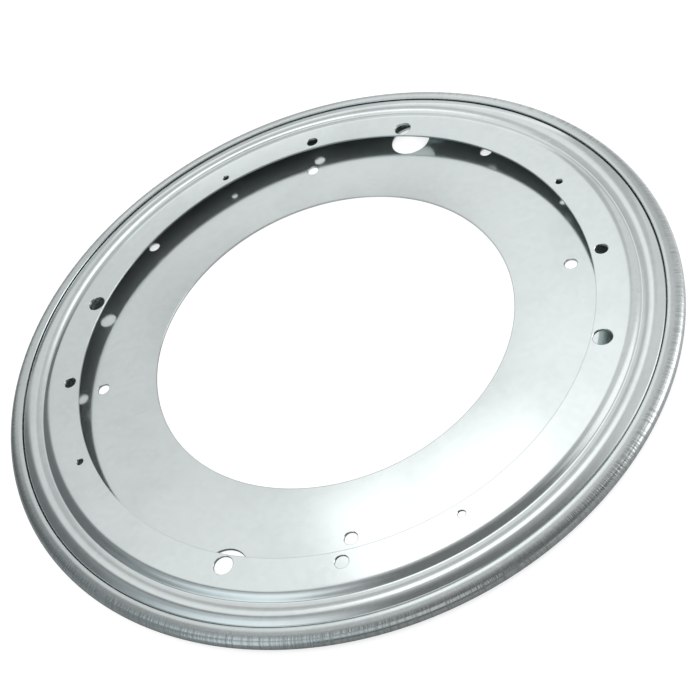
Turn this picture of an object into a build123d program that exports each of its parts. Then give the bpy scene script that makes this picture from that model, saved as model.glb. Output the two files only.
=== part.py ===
from build123d import *
from math import acos, asin, cos, degrees, radians, sin, tan
import os

# Round lazy susan bearing, 12 inch size: a top ring and a base ring, pressed from galvanised sheet,
# turn on loose steel balls, and the base ring's rolled rim holds the top ring's edge.
# Z is the turning axis, and z = 0 is the face that lies on the base board. Millimetres and degrees.

# Overall sizes
OUTER_DIAMETER = 304.8  # over the rolled rim
THICKNESS = 7.94  # from the base ring's mounting face to the top ring's
SHEET = 1.0  # sheet of both rings

# Balls and the raceways pressed for them
BALL_DIAMETER = 4.7625
BALL_COUNT = 48
FIRST_BALL_ANGLE = 3.75
RUNNING_GAP = 0.3  # between a ball and each raceway
RACE_INSET = 12.2  # from the outer diameter in to the circle of the balls
RACE_RADIUS = 8.5  # of a raceway's section; all bend radii are those on the ball's side of the sheet
RACE_FLANK = 18  # slope of the base raceway's outer side

# Flat flanges, and the step from each flange to the groove beside its raceway
TOP_FLANGE = 13.33  # width of the top ring's flat
BASE_FLANGE = 48.254  # width of the base ring's flat
STEP_WIDTH = 5.0  # from the flat to the groove
STEP_BEND = 7.0  # from the flat into the step
FOOT_BEND = 5.8  # out of the step into the groove
GROOVE_FLOOR = 0.63  # flat width of the groove
GROOVE_BEND = 1.6  # from the groove to the raceway

# Skirt of the top ring, which runs down under the rim
BEAD_RADIUS = 10.5  # of the raceway's outer side
BEAD_FLANK = 21  # slope at the end of that side
SKIRT_BEND = 1.0
SKIRT_FLANK = 42  # slope of the skirt
SKIRT_INSET = 4.8  # from the outer diameter in to the skirt's edge

# Rolled rim of the base ring
RIM_BORE = 4.4  # inside diameter of the roll
RIM_FLOOR = 1.0  # height of the roll's underside
RIM_BEND = 2.0  # bend radius between the raceway and the roll
RIM_ANGLE = 183  # how far the sheet is rolled round, so that the lip slopes down a little
LIP_BEND = 9.0  # where the end of the roll is flattened
LIP_ANGLE = 12  # how much of the roll is flattened
LIP_WIDTH = 1.7  # flat of the lip, up to its sheared edge

# Holes
TOP_HOLE_INSET = 4.7625  # from the top ring's bore out to its circle of holes
BASE_HOLE_INSET = 26.19  # from the base ring's bore out to its inner circle of holes
BASE_HOLE_STEP = 12.7  # from the inner circle out to the outer one
SCREW_HOLE = 5.55
BOLT_HOLE = 7.95
PILOT_HOLE = 3.2
ACCESS_HOLE = 19.05
HOLE_COUNT = 4  # of each size in a circle
ACCESS_COUNT = 2
BOLT_HOLE_ANGLE = 67.5  # from the screw holes, on the top ring
PILOT_HOLE_ANGLE = 22.5
OUTER_HOLE_ANGLE = 45  # from the base ring's inner circle of holes
ACCESS_ANGLE = 65
TOP_RING_ANGLE = -1.3  # how far the top ring stands turned on the base at rest

# Radii from the axis, and heights of the ball's side of each sheet
mid_height = THICKNESS / 2
flange_z = mid_height - SHEET
race_z = BALL_DIAMETER / 2 + RUNNING_GAP
step_slope = degrees(asin(STEP_WIDTH / (STEP_BEND + FOOT_BEND)))
groove_z = flange_z - (STEP_BEND + FOOT_BEND) * (1 - cos(radians(step_slope)))
race_slope = degrees(acos(1 - (race_z - groove_z) / (GROOVE_BEND + RACE_RADIUS)))
race_circle = OUTER_DIAMETER / 2 - RACE_INSET
groove_edge = race_circle - (GROOVE_BEND + RACE_RADIUS) * sin(radians(race_slope))
flat_edge = groove_edge - GROOVE_FLOOR - STEP_WIDTH
top_bore = flat_edge - TOP_FLANGE
base_bore = flat_edge - BASE_FLANGE

# The roll of the rim, and the top ring's edge in it
rim_centre = OUTER_DIAMETER / 2 - SHEET - RIM_BORE / 2
rim_floor = RIM_FLOOR + SHEET
skirt_edge = OUTER_DIAMETER / 2 - SKIRT_INSET

# Circles of holes
screw_circle = top_bore + TOP_HOLE_INSET
inner_circle = base_bore + BASE_HOLE_INSET
outer_circle = inner_circle + BASE_HOLE_STEP


def flange_and_step(bore):
    """Section line of a ring's flange, step and groove, as far as its raceway, above the balls."""
    flange = Line((bore, flange_z), (flat_edge, flange_z))
    step = JernArc(flange @ 1, flange % 1, STEP_BEND, -step_slope)
    foot = JernArc(step @ 1, step % 1, FOOT_BEND, step_slope)
    groove = Line(foot @ 1, (groove_edge, groove_z))
    return flange + step + foot + groove + JernArc(groove @ 1, groove % 1, GROOVE_BEND, race_slope)


def sheet_ring(line):
    """A ring of sheet: a section line of its lower face, thickened upwards and turned about Z."""
    section = make_face(Wire(line.edges()).offset_2d(SHEET, side=Side.LEFT))
    return revolve(Plane.XZ * section, axis=Axis.Z)


def holes(circle, count, diameter, start_angle):
    """Drills for a circle of round holes, long enough for either ring."""
    drill = Cylinder(diameter / 2, 2 * THICKNESS)
    return [place * drill for place in PolarLocations(circle, count, start_angle)]


def top_ring():
    """The turning ring: flange, step, raceway and a skirt that runs down under the rim."""
    flange = flange_and_step(top_bore)
    race = JernArc(flange @ 1, flange % 1, RACE_RADIUS, -race_slope)
    bead = JernArc(race @ 1, race % 1, BEAD_RADIUS, -BEAD_FLANK)
    bend = JernArc(bead @ 1, bead % 1, SKIRT_BEND, BEAD_FLANK - SKIRT_FLANK)
    skirt_drop = (skirt_edge - (bend @ 1).X) * tan(radians(SKIRT_FLANK))
    skirt = Line(bend @ 1, (skirt_edge, (bend @ 1).Y - skirt_drop))
    ring = Pos(Z=mid_height) * sheet_ring(flange + race + bead + bend + skirt)
    ring -= holes(screw_circle, HOLE_COUNT, SCREW_HOLE, 0)
    ring -= holes(screw_circle, HOLE_COUNT, BOLT_HOLE, BOLT_HOLE_ANGLE)
    ring -= holes(screw_circle, HOLE_COUNT, PILOT_HOLE, PILOT_HOLE_ANGLE)
    return Rot(Z=TOP_RING_ANGLE) * ring


def base_ring():
    """The fixed ring, drawn upside down: flange, step, raceway, rim floor, roll and lip."""
    flange = flange_and_step(base_bore)
    race = JernArc(flange @ 1, flange % 1, RACE_RADIUS, -(race_slope + RACE_FLANK))
    floor_z = mid_height - rim_floor
    floor_start = (race @ 1).X + ((race @ 1).Y - floor_z) / tan(radians(RACE_FLANK))
    floor = FilletPolyline(race @ 1, (floor_start, floor_z), (rim_centre, floor_z), radius=RIM_BEND)
    roll = JernArc(floor @ 1, floor % 1, RIM_BORE / 2, LIP_ANGLE - RIM_ANGLE)
    bend = JernArc(roll @ 1, roll % 1, LIP_BEND, -LIP_ANGLE)
    lip = Line(bend @ 1, (bend @ 1) + (bend % 1) * LIP_WIDTH)
    ring = Pos(Z=mid_height) * (Rot(X=180) * sheet_ring(flange + race + floor + roll + bend + lip))
    ring -= holes(inner_circle, HOLE_COUNT, SCREW_HOLE, 0)
    ring -= holes(outer_circle, HOLE_COUNT, SCREW_HOLE, OUTER_HOLE_ANGLE)
    ring -= holes(outer_circle, ACCESS_COUNT, ACCESS_HOLE, ACCESS_ANGLE)
    return ring


os.makedirs("parts", exist_ok=True)
export_step(base_ring(), "parts/base_ring.step")
export_step(top_ring(), "parts/top_ring.step")
ball = Pos(Z=mid_height) * Rot(X=90) * Sphere(BALL_DIAMETER / 2)
for number, place in enumerate(PolarLocations(race_circle, BALL_COUNT, FIRST_BALL_ANGLE), start=1):
    export_step(place * ball, f"parts/ball_{number:02d}.step")
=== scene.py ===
from math import ceil, cos, pi, radians, sin

import bpy
from mathutils import Matrix, Vector


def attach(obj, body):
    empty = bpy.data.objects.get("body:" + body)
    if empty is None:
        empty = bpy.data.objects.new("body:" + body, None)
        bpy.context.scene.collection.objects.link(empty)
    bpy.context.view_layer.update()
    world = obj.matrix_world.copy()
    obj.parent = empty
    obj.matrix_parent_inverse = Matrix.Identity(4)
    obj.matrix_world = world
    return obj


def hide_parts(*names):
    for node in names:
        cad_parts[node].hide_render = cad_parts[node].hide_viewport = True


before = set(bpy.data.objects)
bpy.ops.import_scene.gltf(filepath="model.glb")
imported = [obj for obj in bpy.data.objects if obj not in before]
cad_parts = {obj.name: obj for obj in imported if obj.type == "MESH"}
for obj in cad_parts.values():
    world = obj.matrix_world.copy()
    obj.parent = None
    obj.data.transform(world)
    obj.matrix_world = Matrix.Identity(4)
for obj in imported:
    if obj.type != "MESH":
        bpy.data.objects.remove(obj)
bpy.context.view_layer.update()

# Base ring: one pressing of galvanised sheet that is screwed down flat on the board. A raceway for the
# balls is pressed in beside its wide flange, and its edge is rolled up and over to hold the top ring.
MM = 0.001  # the bearing's sizes are in millimetres and degrees, and the scene is in metres
SHEET = 1.0
BALL_CIRCLE = 140.2
BASE_BORE = 82.55
BASE_FACE = 1.0  # height of the flange's upper face
STEP_SLOPE = 22.993
RACE_INNER_SLOPE = 21.89
RACE_OUTER_SLOPE = 18
ROLL_ANGLE = 168
LIP_CROWN = 14
BASE_BENDS = (  # a flat run, then a bend: its angle, and its radius on the ball's side
    (48.254, STEP_SLOPE, 7.0),  # flange, into the step
    (0, -STEP_SLOPE, 5.8),  # out of the step
    (0.63, -RACE_INNER_SLOPE, 1.6),  # groove
    (0, RACE_INNER_SLOPE + RACE_OUTER_SLOPE, 8.5),  # round the raceway
    (0.639, -RACE_OUTER_SLOPE, 2.0),  # side of the raceway, into the rim's floor
    (5.258, ROLL_ANGLE, 2.09),  # floor, then up and over in the roll
    (0, LIP_CROWN, 16.3),  # lip, crowned a little
    (0.25, 0, 0),  # flat end of the lip
)
SHEARED_EDGE = 0.2
LIP_EDGE = 0.42  # worn round by the rolling
EDGE_STEPS = 4  # faces round a sheared edge
BEND_STEP = 5  # degrees of bend to a face
RUN_HOLD = 0.45  # a point this close to each bend keeps the run between them flat
FACES_ROUND = 480  # faces round a ring


def left_of(heading):
    """The unit vector to the left of a heading in the section."""
    return Vector((-sin(heading), cos(heading)))


def sheet_line(bore, height, bends):
    """Points and headings along a pressed sheet's ball side, from its bore to its far edge."""
    line = [(Vector((bore, height)), 0.0)]
    for run, turn, radius in bends:
        point, heading = line[-1]
        if run:
            ahead = Vector((cos(heading), sin(heading)))
            hold = min(RUN_HOLD, run / 3)
            line += [(point + ahead * along, heading) for along in (hold, run - hold, run)]
            point = line[-1][0]
        side = 1 if turn > 0 else -1
        centre = point + side * radius * left_of(heading)
        steps = ceil(abs(turn) / BEND_STEP)
        for step in range(1, steps + 1):
            turned = heading + radians(turn) * step / steps
            line.append((centre - side * radius * left_of(turned), turned))
    return line


def rounded_corner(before, corner, after, radius):
    """Points round one corner of a sheared edge."""
    back, on = (before - corner).normalized(), (after - corner).normalized()
    centre = corner + radius * (back + on)
    angles = [pi / 2 * step / EDGE_STEPS for step in range(EDGE_STEPS + 1)]
    return [centre - radius * (cos(angle) * on + sin(angle) * back) for angle in angles]


def pressed_section(name, line, sheet, far_edge):
    """The cut through a pressed ring as a closed curve, drawn from the circle of the balls."""
    ball_side = [point for point, heading in line]
    outside = [point + sheet * left_of(heading) for point, heading in reversed(line)]
    outline = []
    for face, other, first_edge, last_edge in (
        (ball_side, outside, SHEARED_EDGE, far_edge),
        (outside, ball_side, far_edge, SHEARED_EDGE),
    ):
        first, last = face[0], face[-1]
        between = [p for p in face if (p - first).length > first_edge and (p - last).length > last_edge]
        outline += rounded_corner(other[-1], first, between[0], first_edge) + between
        outline += rounded_corner(between[-1], last, other[0], last_edge)
    if sheet > 0:
        outline.reverse()
    curve = bpy.data.curves.new(name, "CURVE")
    curve.dimensions = "3D"
    spline = curve.splines.new("POLY")
    spline.points.add(len(outline) - 1)
    spline.use_cyclic_u = True
    for point, (radius, height) in zip(spline.points, outline):
        point.co = ((radius - BALL_CIRCLE) * MM, -height * MM, 0, 1)
    section = bpy.data.objects.new(name, curve)
    bpy.context.scene.collection.objects.link(section)
    return section


def node(tree, kind, **settings):
    """A new node, with its properties set by name, and its inputs by name or by number, as in i0."""
    made = tree.nodes.new(kind)
    for key, value in settings.items():
        if hasattr(made, key):
            setattr(made, key, value)
            continue
        by_number = key[0] == "i" and key[1:].isdigit()
        socket = made.inputs[int(key[1:]) if by_number else key.replace("_", " ")]
        if isinstance(value, bpy.types.NodeSocket):
            tree.links.new(value, socket)
        else:
            socket.default_value = value
    return made


def calc(tree, operation, *values):
    """A Math node's result."""
    numbered = {f"i{n}": value for n, value in enumerate(values)}
    return node(tree, "ShaderNodeMath", operation=operation, **numbered).outputs[0]


def shape_tree(name, **inputs):
    """An empty Geometry Nodes tree with named inputs, and the sockets of its input and output."""
    tree = bpy.data.node_groups.new(name, "GeometryNodeTree")
    for label, kind in inputs.items():
        tree.interface.new_socket(label.replace("_", " "), in_out="INPUT", socket_type="NodeSocket" + kind)
    tree.interface.new_socket("Geometry", in_out="OUTPUT", socket_type="NodeSocketGeometry")
    return tree, tree.nodes.new("NodeGroupInput").outputs, tree.nodes.new("NodeGroupOutput").inputs


SHARP_ANGLE = 30  # an edge that turns more than this stays sharp


def smooth_and_finish(tree, mesh, material, output):
    """Smooth shading with sharp edges at cuts, then the finish."""
    angle = node(tree, "GeometryNodeInputMeshEdgeAngle").outputs["Unsigned Angle"]
    sharp = node(tree, "FunctionNodeCompare", operation="GREATER_THAN", i0=angle, i1=radians(SHARP_ANGLE))
    mesh = node(tree, "GeometryNodeSetShadeSmooth", Geometry=mesh, Shade_Smooth=True).outputs[0]
    mesh = node(tree, "GeometryNodeSetShadeSmooth", domain="EDGE", Geometry=mesh,
                Selection=sharp.outputs[0], Shade_Smooth=False).outputs[0]
    mesh = node(tree, "GeometryNodeRealizeInstances", Geometry=mesh).outputs[0]
    mesh = node(tree, "GeometryNodeSetMaterial", Geometry=mesh, Material=material).outputs[0]
    tree.links.new(mesh, output)


def circle_of_points(tree, radius, count, first_angle, height=0.0):
    """Points spaced evenly round a circle about the axis."""
    index = node(tree, "GeometryNodeInputIndex").outputs[0]
    angle = calc(tree, "MULTIPLY_ADD", index, calc(tree, "DIVIDE", 2 * pi, count), first_angle)
    x = calc(tree, "MULTIPLY", calc(tree, "COSINE", angle), radius)
    y = calc(tree, "MULTIPLY", calc(tree, "SINE", angle), radius)
    place = node(tree, "ShaderNodeCombineXYZ", X=x, Y=y, Z=height).outputs[0]
    return node(tree, "GeometryNodePoints", Count=count, Position=place).outputs[0]


def set_at(tree, points, tool):
    """A copy of a shape at each point."""
    placed = node(tree, "GeometryNodeInstanceOnPoints", Points=points, Instance=tool).outputs[0]
    return node(tree, "GeometryNodeRealizeInstances", Geometry=placed).outputs[0]


def add_nodes(piece, tree, **inputs):
    """The tree as a modifier on a piece, with its inputs set by identifier."""
    modifier = piece.modifiers.new(tree.name, "NODES")
    modifier.node_group = tree
    for item in tree.interface.items_tree:
        label = item.name.replace(" ", "_")
        if item.in_out == "INPUT" and label in inputs:
            modifier[item.identifier] = inputs[label]


def new_piece(name):
    """An empty piece in the scene."""
    piece = bpy.data.objects.new(name, bpy.data.meshes.new(name))
    bpy.context.scene.collection.objects.link(piece)
    return piece


def made_plain(piece):
    """The evaluated shape as the piece's own mesh, with no modifier left."""
    depsgraph = bpy.context.evaluated_depsgraph_get()
    mesh = bpy.data.meshes.new_from_object(piece.evaluated_get(depsgraph), depsgraph=depsgraph)
    piece.modifiers.clear()
    piece.data = mesh
    mesh.name = piece.name


# A ring is its section swept round the circle of the balls.
pressed_ring, given, out = shape_tree(
    "Pressed Ring", Section="Object", Circle="Float", Faces_Round="Int", Material="Material")
circle = node(pressed_ring, "GeometryNodeCurvePrimitiveCircle", Resolution=given["Faces Round"],
              Radius=given["Circle"]).outputs[0]
section = node(pressed_ring, "GeometryNodeObjectInfo", Object=given["Section"]).outputs["Geometry"]
ring = node(pressed_ring, "GeometryNodeCurveToMesh", Curve=circle, Profile_Curve=section).outputs[0]
smooth_and_finish(pressed_ring, ring, given["Material"], out[0])

# Its holes are punched straight through, and then deburred from above with a cone.
SCREW_HOLE = 5.55
ACCESS_HOLE = 19.05
HOLE_COUNT = 4  # of each size in a circle
ACCESS_COUNT = 2
BASE_INNER_CIRCLE = 108.74
BASE_OUTER_CIRCLE = 121.44
OUTER_HOLE_ANGLE = 45
ACCESS_ANGLE = 65
HOLE_FACES = 64
PUNCH_LENGTH = 30
BURR_CUT = 0.18  # how far the cone cuts down the hole's wall
BURR_FLARE = 1.2  # how much the cone's radius grows with its height
BURR_BELOW, BURR_ABOVE = 3, 2  # how far the cone goes below and above the face, in cuts
SLIVER = 0.002  # points closer than this, left by the cutting, are joined

punched_holes, given, out = shape_tree(
    "Punched Holes", Geometry="Geometry", Circle="Float", Count="Int", Radius="Float", First_Angle="Float",
    Face="Float", Burr_Cut="Float", Material="Material")
radius, cut = given["Radius"], given["Burr Cut"]
stations = circle_of_points(punched_holes, given["Circle"], given["Count"], given["First Angle"])
punch = node(punched_holes, "GeometryNodeMeshCylinder", Vertices=HOLE_FACES, Radius=radius,
             Depth=PUNCH_LENGTH * MM).outputs["Mesh"]
tip = calc(punched_holes, "MULTIPLY_ADD", cut, BURR_FLARE * (1 - BURR_BELOW), radius)
head = calc(punched_holes, "MULTIPLY_ADD", cut, BURR_FLARE * (1 + BURR_ABOVE), radius)
length = calc(punched_holes, "MULTIPLY", cut, BURR_BELOW + BURR_ABOVE)
cone = node(punched_holes, "GeometryNodeMeshCone", Vertices=HOLE_FACES, Depth=length, Radius_Top=head,
            Radius_Bottom=tip).outputs["Mesh"]
foot = calc(punched_holes, "MULTIPLY_ADD", cut, -BURR_BELOW, given["Face"])
lift = node(punched_holes, "ShaderNodeCombineXYZ", Z=foot).outputs[0]
cone = node(punched_holes, "GeometryNodeTransform", Geometry=cone, Translation=lift).outputs[0]
cutter = node(punched_holes, "GeometryNodeMeshBoolean", operation="DIFFERENCE", solver="MANIFOLD",
              i0=given["Geometry"])
for tool in (punch, cone):
    punched_holes.links.new(set_at(punched_holes, stations, tool), cutter.inputs["Mesh 2"])
ring = node(punched_holes, "GeometryNodeMergeByDistance", Geometry=cutter.outputs["Mesh"],
            Distance=SLIVER * MM).outputs[0]
smooth_and_finish(punched_holes, ring, given["Material"], out[0])


def punch_circle(piece, circle, count, size, angle, face, material):
    """One circle of holes in a ring."""
    add_nodes(piece, punched_holes, Circle=circle * MM, Count=count, Radius=size / 2 * MM,
              First_Angle=radians(angle), Face=face * MM, Burr_Cut=BURR_CUT * MM, Material=material)


def effect_group(name, inputs, outputs):
    """An empty shader node group with named number inputs, and the sockets of its input and output."""
    tree = bpy.data.node_groups.new(name, "ShaderNodeTree")
    for label, value in inputs.items():
        tree.interface.new_socket(label, in_out="INPUT", socket_type="NodeSocketFloat").default_value = value
    for label, kind in outputs.items():
        tree.interface.new_socket(label, in_out="OUTPUT", socket_type="NodeSocket" + kind)
    return tree, tree.nodes.new("NodeGroupInput").outputs, tree.nodes.new("NodeGroupOutput").inputs


def vector_calc(tree, operation, *values):
    """A Vector Math node's result."""
    numbered = {f"i{n}": value for n, value in enumerate(values)}
    made = node(tree, "ShaderNodeVectorMath", operation=operation, **numbered)
    return made.outputs["Value" if operation in ("LENGTH", "DOT_PRODUCT") else "Vector"]


def ramp(tree, value, low, high, start=0.0, end=1.0):
    """A smooth step from start to end as the value goes from low to high."""
    return node(tree, "ShaderNodeMapRange", interpolation_type="SMOOTHSTEP", Value=value, From_Min=low,
                From_Max=high, To_Min=start, To_Max=end).outputs[0]


def weighed(tree, start, *marks):
    """A start value, with each mark added by its weight."""
    for mark, weight in marks:
        start = calc(tree, "MULTIPLY_ADD", mark, weight, start)
    return start


def mixed(tree, first, second, amount=1, mode="MIX"):
    """A colour Mix node's result."""
    mix = node(tree, "ShaderNodeMix", data_type="RGBA", blend_type=mode, i0=amount, i6=first, i7=second)
    return mix.outputs[2]


def grey(tree, value):
    """A number as a colour."""
    return node(tree, "ShaderNodeCombineColor", i0=value, i1=value, i2=value).outputs[0]


# Zinc coat of both rings: soft clouds and finger marks, faint crystals, rolling grain and scuffs. The walls
# of bores and holes are sheared bare. Each mark has a weight in the shade, the roughness and the height.
ZINC_COLOR = (0.70, 0.755, 0.75, 1)
ZINC_METALLIC = 0.89  # the rest stands for the haze of its crystals
ZINC_ROUGHNESS = 0.11
ZINC_HEIGHT = 0.0015
CLOUD_RANGE = (0.45, 0.8)  # of the noise, from where a mark begins to where it is full
CLOUD_SHADE, CLOUD_ROUGHNESS = -0.09, 0.04
CRYSTAL_SHADE, CRYSTAL_ROUGHNESS, CRYSTAL_HEIGHT = 0.035, 0.02, 0.1
GRAIN_ROUGHNESS, GRAIN_HEIGHT = 0.03, 0.3
SCUFF_SHADE, SCUFF_ROUGHNESS, SCUFF_HEIGHT = -0.02, 0.04, -0.1
SCUFF_ANGLES = (25, 78, 141)
SCUFF_RANGE = (0.74, 0.80)
BARE_SHADE, BARE_ROUGHNESS = -0.4, 0.2
BARE_RADIUS = 133.3  # steep walls inside it are cut ones
STEEP_RANGE = (0.2, 0.5)  # of the upward part of a face's normal

zinc, given, out = effect_group(
    "Zinc Coat", {"Seed": 0, "Bare Radius": BARE_RADIUS * MM},
    {"Color": "Color", "Roughness": "Float", "Height": "Float"})
where = node(zinc, "ShaderNodeTexCoord").outputs["Object"]
clouds = node(zinc, "ShaderNodeTexNoise", noise_dimensions="4D", Vector=where, W=given["Seed"], Scale=26,
              Detail=5, Roughness=0.55).outputs["Fac"]
clouds = ramp(zinc, clouds, *CLOUD_RANGE)
crystals = node(zinc, "ShaderNodeTexVoronoi", Vector=where, Scale=420).outputs["Color"]
crystals = node(zinc, "ShaderNodeSeparateColor", Color=crystals).outputs[0]
rolled = node(zinc, "ShaderNodeMapping", Vector=where, Scale=(40, 1500, 40)).outputs[0]
grain = node(zinc, "ShaderNodeTexNoise", Vector=rolled, Scale=1, Detail=3).outputs["Fac"]
scuffs = 0.0
for angle in SCUFF_ANGLES:
    dragged = node(zinc, "ShaderNodeMapping", Vector=where, Rotation=(0, 0, radians(angle)),
                   Scale=(14, 700, 14)).outputs[0]
    scuff = node(zinc, "ShaderNodeTexNoise", noise_dimensions="4D", Vector=dragged, W=given["Seed"], Scale=1,
                 Detail=1).outputs["Fac"]
    scuffs = calc(zinc, "MAXIMUM", scuffs, ramp(zinc, scuff, *SCUFF_RANGE))
radius = vector_calc(zinc, "LENGTH", vector_calc(zinc, "MULTIPLY", where, (1, 1, 0)))
facing = node(zinc, "ShaderNodeNewGeometry").outputs["Normal"]
upward = calc(zinc, "ABSOLUTE", node(zinc, "ShaderNodeSeparateXYZ", Vector=facing).outputs["Z"])
inside = calc(zinc, "LESS_THAN", radius, given["Bare Radius"])
bare = calc(zinc, "MULTIPLY", ramp(zinc, upward, *STEEP_RANGE, 1, 0), inside)
shade = weighed(zinc, 1 - CRYSTAL_SHADE / 2, (clouds, CLOUD_SHADE), (crystals, CRYSTAL_SHADE),
                (scuffs, SCUFF_SHADE), (bare, BARE_SHADE))
rough = weighed(zinc, ZINC_ROUGHNESS, (clouds, CLOUD_ROUGHNESS), (crystals, CRYSTAL_ROUGHNESS),
                (grain, GRAIN_ROUGHNESS), (scuffs, SCUFF_ROUGHNESS), (bare, BARE_ROUGHNESS))
height = weighed(zinc, 0, (crystals, CRYSTAL_HEIGHT), (grain, GRAIN_HEIGHT), (scuffs, SCUFF_HEIGHT))
zinc.links.new(mixed(zinc, ZINC_COLOR, grey(zinc, shade), mode="MULTIPLY"), out["Color"])
zinc.links.new(rough, out["Roughness"])
zinc.links.new(height, out["Height"])


def new_material(name):
    """A new material with a plain shader."""
    material = bpy.data.materials.new(name)
    material.use_nodes = True
    return material


def finish_of(material):
    """The inputs of a material's shader."""
    return material.node_tree.nodes["Principled BSDF"].inputs


def zinc_material(name, seed):
    """A zinc finish with clouds and scuffs of its own."""
    material = new_material(name)
    tree, finish = material.node_tree, finish_of(material)
    finish["Metallic"].default_value = ZINC_METALLIC
    coat = node(tree, "ShaderNodeGroup", node_tree=zinc, Seed=seed).outputs
    bump = node(tree, "ShaderNodeBump", Height=coat["Height"], Strength=1, Distance=ZINC_HEIGHT * MM)
    tree.links.new(coat["Color"], finish["Base Color"])
    tree.links.new(coat["Roughness"], finish["Roughness"])
    tree.links.new(bump.outputs[0], finish["Normal"])
    return material


def fed_by(socket):
    """What is linked to an input."""
    return socket.links[0].from_socket


# The lip and the roll are duller, and the roll's stretched skin shows fine lines across it.
LIP_BEGINS = (145.0, 145.6)
ROLL_BEGINS = (147.8, 149.6)
LIP_SHADE, LIP_ROUGHNESS = -0.12, 0.07
ROLL_SHADE = -0.1
LINE_RANGE = (0.42, 0.68)
LINE_SHADE, LINE_ROUGHNESS, LINE_HEIGHT = -0.2, 0.12, 0.1

base_zinc = zinc_material("base_ring_zinc", seed=1.7)
tree, finish = base_zinc.node_tree, finish_of(base_zinc)
where = node(tree, "ShaderNodeTexCoord").outputs["Object"]
flat = vector_calc(tree, "MULTIPLY", where, (1, 1, 0))
radius = vector_calc(tree, "LENGTH", flat)
strained = node(tree, "ShaderNodeTexNoise", Vector=vector_calc(tree, "NORMALIZE", flat), Scale=140, Detail=2,
                Roughness=0.6).outputs["Fac"]
on_lip = ramp(tree, radius, *[edge * MM for edge in LIP_BEGINS])
on_roll = ramp(tree, radius, *[edge * MM for edge in ROLL_BEGINS])
lines = calc(tree, "MULTIPLY", ramp(tree, strained, *LINE_RANGE), on_roll)
ridges = calc(tree, "MULTIPLY", strained, on_roll)
dull = weighed(tree, 1, (on_roll, ROLL_SHADE), (on_lip, LIP_SHADE), (lines, LINE_SHADE))
rough = weighed(tree, fed_by(finish["Roughness"]), (on_lip, LIP_ROUGHNESS), (lines, LINE_ROUGHNESS))
bump = node(tree, "ShaderNodeBump", Height=ridges, Strength=1, Distance=LINE_HEIGHT * MM,
            Normal=fed_by(finish["Normal"])).outputs[0]
color = mixed(tree, fed_by(finish["Base Color"]), grey(tree, dull), mode="MULTIPLY")
tree.links.new(color, finish["Base Color"])
tree.links.new(rough, finish["Roughness"])
tree.links.new(bump, finish["Normal"])

base_line = sheet_line(BASE_BORE, BASE_FACE, BASE_BENDS)
base_section = pressed_section("base_section", base_line, -SHEET, LIP_EDGE)
base_ring = new_piece("base_ring_sheet")
add_nodes(base_ring, pressed_ring, Section=base_section, Circle=BALL_CIRCLE * MM, Faces_Round=FACES_ROUND,
          Material=base_zinc)
for circle, count, size, angle in (
    (BASE_INNER_CIRCLE, HOLE_COUNT, SCREW_HOLE, 0),
    (BASE_OUTER_CIRCLE, HOLE_COUNT, SCREW_HOLE, OUTER_HOLE_ANGLE),
    (BASE_OUTER_CIRCLE, ACCESS_COUNT, ACCESS_HOLE, ACCESS_ANGLE),
):
    punch_circle(base_ring, circle, count, size, angle, BASE_FACE, base_zinc)
made_plain(base_ring)
bpy.data.objects.remove(base_section)
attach(base_ring, "base")
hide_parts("base_ring")

# Balls: loose balls of polished steel, lightly greased. They are dropped into the base ring's raceway, and
# nothing but the two raceways holds them in their track.
BALL_SIZE = 4.7625
BALL_COUNT = 48
FIRST_BALL_ANGLE = 3.75
BALL_HEIGHT = 3.97  # of a ball's centre
BALL_COLOR = (0.62, 0.63, 0.64, 1)
BALL_ROUGHNESS = 0.1

ball_track, given, out = shape_tree(
    "Balls in the Track", Circle="Float", Count="Int", Radius="Float", First_Angle="Float", Height="Float",
    Material="Material")
stations = circle_of_points(
    ball_track, given["Circle"], given["Count"], given["First Angle"], given["Height"])
ball = node(ball_track, "GeometryNodeMeshUVSphere", Segments=28, Rings=18, Radius=given["Radius"])
placed = set_at(ball_track, stations, ball.outputs["Mesh"])
smooth_and_finish(ball_track, placed, given["Material"], out[0])

ball_steel = new_material("ball_steel")
finish = finish_of(ball_steel)
finish["Base Color"].default_value = BALL_COLOR
finish["Metallic"].default_value = 1
finish["Roughness"].default_value = BALL_ROUGHNESS

balls = new_piece("steel_balls")
add_nodes(balls, ball_track, Circle=BALL_CIRCLE * MM, Count=BALL_COUNT, Radius=BALL_SIZE / 2 * MM,
          First_Angle=radians(FIRST_BALL_ANGLE), Height=BALL_HEIGHT * MM, Material=ball_steel)
made_plain(balls)
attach(balls, "ball_set")
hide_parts(*[f"ball_{n:02d}" for n in range(1, BALL_COUNT + 1)])

# Top ring: a second pressing of the same sheet, laid on the balls before the rim is rolled over its edge.
# Its flange is narrower, and carries the tray.
TOP_BORE = 117.475
TOP_FACE = 7.94
TOP_STEP_SLOPE = 23
BEAD_INNER_SLOPE = 23.73
BEAD_OUTER_SLOPE = 14
BEAD_EDGE_SLOPE = 60
SKIRT_SLOPE = 40
TOP_BENDS = (
    (13.33, -TOP_STEP_SLOPE, 7.0),  # flange, into the step
    (1.0, TOP_STEP_SLOPE, 3.0),  # out of the step
    (0.3, BEAD_INNER_SLOPE, 1.4),  # groove
    (0, -BEAD_INNER_SLOPE, 9.21),  # up to the crown of the bead
    (0, -BEAD_OUTER_SLOPE, 10.5),  # down from it
    (1.5, BEAD_OUTER_SLOPE - BEAD_EDGE_SLOPE, 0.2),  # over the bead's edge
    (0.3, BEAD_EDGE_SLOPE - SKIRT_SLOPE, 1.5),  # out into the skirt
    (3.655, 0, 0),  # skirt, down under the lip
)
TOP_CIRCLE = 122.2375
BOLT_HOLE = 7.95
PILOT_HOLE = 3.2
BOLT_HOLE_ANGLE = 67.5  # from the screw holes
PILOT_HOLE_ANGLE = 22.5
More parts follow.
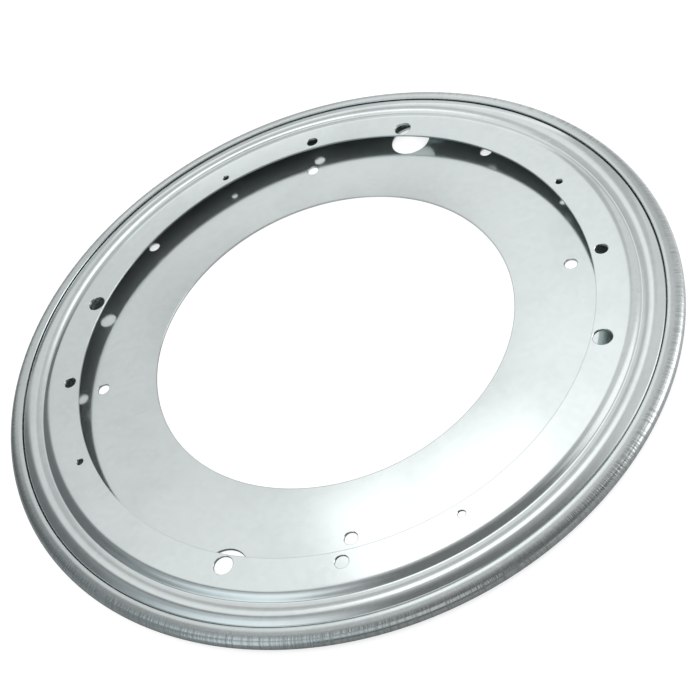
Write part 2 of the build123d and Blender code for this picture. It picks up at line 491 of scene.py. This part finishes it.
TOP_RING_ANGLE = -1.3  # how far the ring stands turned on the base

top_zinc = zinc_material("top_ring_zinc", seed=6.2)

top_line = sheet_line(TOP_BORE, TOP_FACE - SHEET, TOP_BENDS)
top_section = pressed_section("top_section", top_line, SHEET, SHEARED_EDGE)
top_ring = new_piece("top_ring_sheet")
add_nodes(top_ring, pressed_ring, Section=top_section, Circle=BALL_CIRCLE * MM, Faces_Round=FACES_ROUND,
          Material=top_zinc)
for size, angle in ((SCREW_HOLE, 0), (BOLT_HOLE, BOLT_HOLE_ANGLE), (PILOT_HOLE, PILOT_HOLE_ANGLE)):
    punch_circle(top_ring, TOP_CIRCLE, HOLE_COUNT, size, angle + TOP_RING_ANGLE, TOP_FACE, top_zinc)
made_plain(top_ring)
bpy.data.objects.remove(top_section)
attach(top_ring, "turntable")
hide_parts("top_ring")

# Floor: a plain pale sheet just under the bearing, whose glow is painted. The camera sees it near white, with
# a painted soft shadow close to the bearing, and the metal mirrors it painted dark in front and brighter
# towards the far right. The stage's sizes are in metres.
FLOOR_RADIUS = 3
FLOOR_HEIGHT = -0.0001  # keeps it clear of the bearing's own underside
FLOOR_COLOR = (0.35, 0.35, 0.35, 1)
FLOOR_ROUGHNESS = 0.9
FLOOR_SEEN = 0.9
FAR_RIGHT = (0.42, 0.91, 0)
MIRRORED_FROM, MIRRORED_TO = -0.12, 0.14  # places along that direction
MIRRORED_NEAR, MIRRORED_FAR = 0.12, 0.85  # and the levels mirrored there
SHADOW_REACH = 0.012
SHADOW_RANGE = (0.05, 0.6)  # of how open the floor is to the light
SHADOW_LEVEL = 0.7
WHITE = (1, 1, 1, 1)

bpy.ops.mesh.primitive_circle_add(
    vertices=96, radius=FLOOR_RADIUS, fill_type="NGON", location=(0, 0, FLOOR_HEIGHT))
floor = bpy.context.object
floor.name = "floor"
white_sheet = new_material("white_sheet")
tree, finish = white_sheet.node_tree, finish_of(white_sheet)
finish["Base Color"].default_value = FLOOR_COLOR
finish["Roughness"].default_value = FLOOR_ROUGHNESS
finish["Emission Color"].default_value = WHITE
rays = node(tree, "ShaderNodeLightPath").outputs
where = node(tree, "ShaderNodeTexCoord").outputs["Object"]
# painted light and shade: for the metal, the floor's glow is painted dark in front of the bearing and
# brighter towards the far right
along = vector_calc(tree, "DOT_PRODUCT", where, FAR_RIGHT)
painted_mirror_light = calc(tree, "MULTIPLY", calc(tree, "MAXIMUM", rays["Is Glossy Ray"], rays["Is Transmission Ray"]),
                ramp(tree, along, MIRRORED_FROM, MIRRORED_TO, MIRRORED_NEAR, MIRRORED_FAR))
seen = calc(tree, "MAXIMUM", calc(tree, "MULTIPLY", rays["Is Camera Ray"], FLOOR_SEEN), painted_mirror_light)
# painted shadow: the glow is dimmed where the bearing closes the floor in
openness = node(tree, "ShaderNodeAmbientOcclusion", samples=8, Distance=SHADOW_REACH).outputs["AO"]
glow_with_painted_shadow = calc(tree, "MULTIPLY", seen, ramp(tree, openness, *SHADOW_RANGE, SHADOW_LEVEL, 1))
tree.links.new(glow_with_painted_shadow, finish["Emission Strength"])
floor.data.materials.append(white_sheet)

# Cards: a low white board and a lit wall with a window stand behind the bearing, for its metal to mirror.
# The camera doesn't see them, and they cast no shadow.
FRAME_TURN = 13.6  # from the camera's heading to the part's
BOARD_BACK, BOARD_LEFT, BOARD_RIGHT, BOARD_FOOT, BOARD_HEAD = 0.31, -0.12, 0.3, 0.098, 0.145
BOARD_LEVEL = 1.15
WALL_BACK, WALL_LEFT, WALL_RIGHT, WALL_FOOT, WALL_HEAD = 0.5, -0.6, 0.6, 0.2, 1.45
WALL_FADES = (  # along X or Z: from and to, and the levels there
    ("Z", 0.42, 0.95, 0.86, 1.2),  # brighter upwards
    ("Z", 1.3, 1.45, 1, 0.35),  # dim head
    ("X", -0.52, -0.36, 0.18, 0.9),  # dark left end
    ("X", -0.3, 0.25, 0.98, 1.27),  # brighter to the right
    ("X", 0.31, 0.44, 1, 0.55),  # dim right end
)
WALL_SHADE = (-0.15, 0.15, 0.38, 0.72, 0.05, 0.36)  # left, right, foot, head, softness, level
WINDOW = (-0.13, 0.2, 0.79, 1.36, 0.025, 1.75)


def hung_card(name, back, left, right, foot, head):
    """A card square to the camera's heading, whose material only gives light."""
    card = new_piece(name)
    corners = ((left, foot), (right, foot), (right, head), (left, head))
    card.data.from_pydata([(x, back, z) for x, z in corners], [], [(0, 1, 2, 3)])
    card.rotation_euler.z = radians(FRAME_TURN)
    card.visible_camera = card.visible_shadow = False
    material = new_material(name)
    card.data.materials.append(material)
    finish = finish_of(material)
    finish["Base Color"].default_value = (0, 0, 0, 1)
    finish["Specular IOR Level"].default_value = 0
    finish["Emission Color"].default_value = WHITE
    return material


def patch(tree, place, left, right, foot, head, blur, level):
    """A soft-edged rectangle on a card."""
    inside = ramp(tree, place["X"], left - blur, left + blur, 0, level)
    inside = calc(tree, "MULTIPLY", inside, ramp(tree, place["X"], right - blur, right + blur, 1, 0))
    inside = calc(tree, "MULTIPLY", inside, ramp(tree, place["Z"], foot - blur, foot + blur))
    return calc(tree, "MULTIPLY", inside, ramp(tree, place["Z"], head - blur, head + blur, 1, 0))


white_board = hung_card("white_board", BOARD_BACK, BOARD_LEFT, BOARD_RIGHT, BOARD_FOOT, BOARD_HEAD)
finish_of(white_board)["Emission Strength"].default_value = BOARD_LEVEL

lit_wall = hung_card("lit_wall", WALL_BACK, WALL_LEFT, WALL_RIGHT, WALL_FOOT, WALL_HEAD)
tree = lit_wall.node_tree
where = node(tree, "ShaderNodeTexCoord").outputs["Object"]
place = node(tree, "ShaderNodeSeparateXYZ", Vector=where).outputs
wall = calc(tree, "SUBTRACT", 1, patch(tree, place, *WALL_SHADE))
for axis, start, end, start_level, end_level in WALL_FADES:
    wall = calc(tree, "MULTIPLY", wall, ramp(tree, place[axis], start, end, start_level, end_level))
wall = calc(tree, "MAXIMUM", wall, patch(tree, place, *WINDOW))
tree.links.new(wall, finish_of(lit_wall)["Emission Strength"])

# Light: soft panels round a dim room, as in a small product studio. The camera itself sees plain white
# beyond the floor. A panel's azimuth is 0 to the camera's right and 90 straight ahead of it.
ROOM = 0.14
PANELS = (  # azimuth, half width, softness; lower edge, softness; upper edge, softness; level
    (94, 20, 9, -30, 9, 76, 9, 0.6),  # back wall
    (43, 42, 7, -42, 4, 69, 11, 0.77),  # right wall
    (6, 19, 12, 30, 5, 66, 13, 1.4),  # right window
    (352, 19, 8, -40, 8, 34, 8, 3.1),  # its lower half
    (175, 28, 14, 50, 14, 77, 9, 1.2),  # high on the left
    (169, 40, 12, 56, 6, 77, 5, 0.72),  # and a dimmer band round it
    (252, 28, 10, 22, 8, 67, 7, 0.8),  # behind the camera
    (309, 24, 8, -10, 8, 26, 8, 0.5),  # low, right of the camera
    (213, 14, 8, -35, 8, 52, 8, 1.1),  # left window
    (180, 26, 8, -30, 8, 50, 8, 0.3),  # left wall
    (126, 105, 14, 47, 10, 80, 14, 0.43),  # ceiling
)
COOL = (0.92, 1, 1.05, 1)  # daylight from the left
WARM = (1.02, 1, 1.01, 1)  # and lamps elsewhere
COOL_END, WARM_END = -0.6, 0  # rightward part of the direction at which each tint is full

world = bpy.data.worlds.new("studio")
bpy.context.scene.world = world
world.use_nodes = True
tree = world.node_tree
looking = node(tree, "ShaderNodeTexCoord").outputs["Generated"]
level = vector_calc(tree, "NORMALIZE", vector_calc(tree, "MULTIPLY", looking, (1, 1, 0)))
height = calc(tree, "ARCSINE", node(tree, "ShaderNodeSeparateXYZ", Vector=looking).outputs["Z"])
light = ROOM
for azimuth, half, blur, low, low_blur, high, high_blur, strength in PANELS:
    heading = radians(azimuth + FRAME_TURN)
    middle = (cos(heading), sin(heading), 0)
    aside = calc(tree, "ARCCOSINE", vector_calc(tree, "DOT_PRODUCT", level, middle))
    panel = ramp(tree, aside, radians(half - blur), radians(half + blur), strength, 0)
    above = ramp(tree, height, radians(low - low_blur), radians(low + low_blur))
    below = ramp(tree, height, radians(high - high_blur), radians(high + high_blur), 1, 0)
    panel = calc(tree, "MULTIPLY", calc(tree, "MULTIPLY", panel, above), below)
    light = calc(tree, "MAXIMUM", light, panel)
rightward = (cos(radians(FRAME_TURN)), sin(radians(FRAME_TURN)), 0)
to_right = vector_calc(tree, "DOT_PRODUCT", looking, rightward)
tint = mixed(tree, COOL, WARM, ramp(tree, to_right, COOL_END, WARM_END))
by_camera = node(tree, "ShaderNodeLightPath").outputs["Is Camera Ray"]
background = tree.nodes["Background"].inputs
tree.links.new(mixed(tree, tint, WHITE, by_camera), background["Color"])
light = calc(tree, "MULTIPLY_ADD", calc(tree, "SUBTRACT", 1, light), by_camera, light)
tree.links.new(light, background["Strength"])

# Camera: above the near edge at the photograph's angle, and rolled, so that the ring leans across the frame.
# Its place was fitted to the rim and the two bores.
ELEVATION = radians(47.306)
DISTANCE = 0.500565
AIM = Vector((0.004327, -0.016176, 0))
ROLL = radians(-24.906)
FRAME_PIXELS = 700
FOCAL_PIXELS = 1152.26
SENSOR = 36

camera_data = bpy.data.cameras.new("camera")
camera_data.sensor_width = SENSOR
camera_data.lens = FOCAL_PIXELS * SENSOR / FRAME_PIXELS
camera_data.clip_start, camera_data.clip_end = 0.01, 20
camera = bpy.data.objects.new("camera", camera_data)
bpy.context.scene.collection.objects.link(camera)
back = Vector((0, -cos(ELEVATION), sin(ELEVATION)))
across, upright = Vector((1, 0, 0)), Vector((0, sin(ELEVATION), cos(ELEVATION)))
right = cos(ROLL) * across + sin(ROLL) * upright
up = cos(ROLL) * upright - sin(ROLL) * across
placed = Matrix((right, up, back)).transposed().to_4x4()
placed.translation = AIM + DISTANCE * back
camera.matrix_world = Matrix.Rotation(radians(FRAME_TURN), 4, "Z") @ placed
bpy.context.scene.camera = camera
bpy.context.scene.view_settings.view_transform = "Standard"
